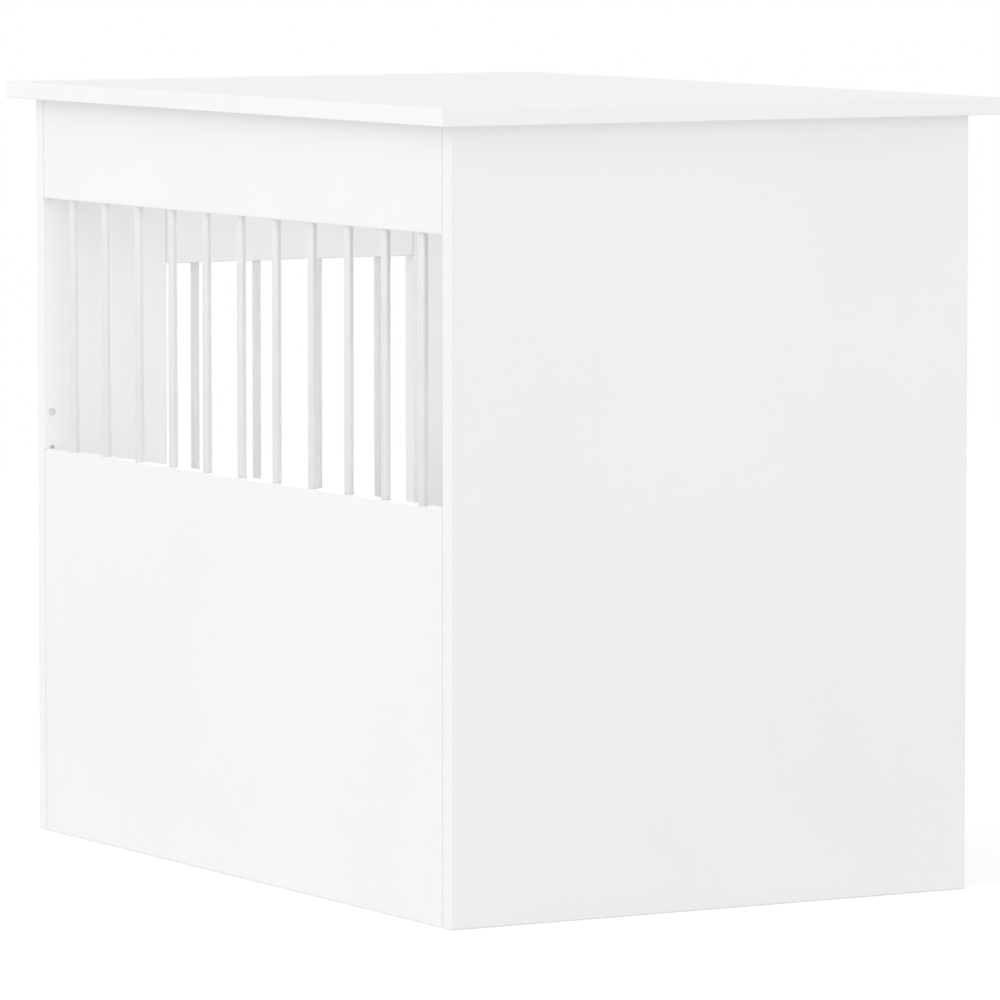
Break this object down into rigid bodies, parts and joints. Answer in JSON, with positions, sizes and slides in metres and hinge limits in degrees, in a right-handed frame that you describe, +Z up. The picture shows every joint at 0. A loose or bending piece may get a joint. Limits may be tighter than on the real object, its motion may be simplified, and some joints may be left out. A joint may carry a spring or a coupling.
{
  "type": "dog crate end table",
  "caption": "White board cabinet that is a dog crate and an end table, with barred windows in both sides and a barred door that swings on hinges and locks with a barrel bolt.",
  "frame": {"origin": "on the floor, under the middle of the top board", "axes": "+Z up; -Y is the front, where the door is; +Y is the back and the table's long direction; +X is the right-hand side of someone who faces the door"},
  "size_m": [0.547, 0.8, 0.68],
  "materials": {
    "white_board": "matt white melamine on particle board, with matching edge band",
    "bar_steel": "satin bright steel rod",
    "hardware_steel": "nickel-plated pressed steel"
  },
  "bodies": {
    "carcass": {"top_board": "white_board", "back_panel": "white_board", "floor_panel": "white_board", "front_top_rail": "white_board", "front_bottom_rail": "white_board", "front_post_left": "white_board", "side_rail_left": "white_board", "side_panel_left": "white_board", "front_post_right": "white_board", "side_rail_right": "white_board", "side_panel_right": "white_board", "side_bar_left_01": "bar_steel", "side_bar_left_02": "bar_steel", "side_bar_left_03": "bar_steel", "side_bar_left_04": "bar_steel", "side_bar_left_05": "bar_steel", "side_bar_left_06": "bar_steel", "side_bar_left_07": "bar_steel", "side_bar_left_08": "bar_steel", "side_bar_left_09": "bar_steel", "side_bar_left_10": "bar_steel", "side_bar_left_11": "bar_steel", "side_bar_right_01": "bar_steel", "side_bar_right_02": "bar_steel", "side_bar_right_03": "bar_steel", "side_bar_right_04": "bar_steel", "side_bar_right_05": "bar_steel", "side_bar_right_06": "bar_steel", "side_bar_right_07": "bar_steel", "side_bar_right_08": "bar_steel", "side_bar_right_09": "bar_steel", "side_bar_right_10": "bar_steel", "side_bar_right_11": "bar_steel", "hinge_lower_post_leaf": "hardware_steel", "hinge_lower_pin": "hardware_steel", "hinge_upper_post_leaf": "hardware_steel", "hinge_upper_pin": "hardware_steel", "latch_keeper": "hardware_steel"},
    "door": {"door_stile_hinge": "white_board", "door_stile_latch": "white_board", "door_top_rail": "white_board", "door_bottom_rail": "white_board", "door_bar_1": "bar_steel", "door_bar_2": "bar_steel", "door_bar_3": "bar_steel", "door_bar_4": "bar_steel", "hinge_lower_door_leaf": "hardware_steel", "hinge_upper_door_leaf": "hardware_steel", "latch_base": "hardware_steel"},
    "latch": {"latch_bolt": "hardware_steel"}
  },
  "joints": [
    {"name": "door_hinge", "type": "hinge", "parent": "carcass", "child": "door", "pos_m": [-0.19225, -0.3832, 0.3175], "axis": [0, 0, -1], "range_deg": [0, 175]},
    {"name": "latch_slide", "type": "slide", "parent": "door", "child": "latch", "axis": [1, 0, 0], "range_m": [0, 0.017]}
  ]
}
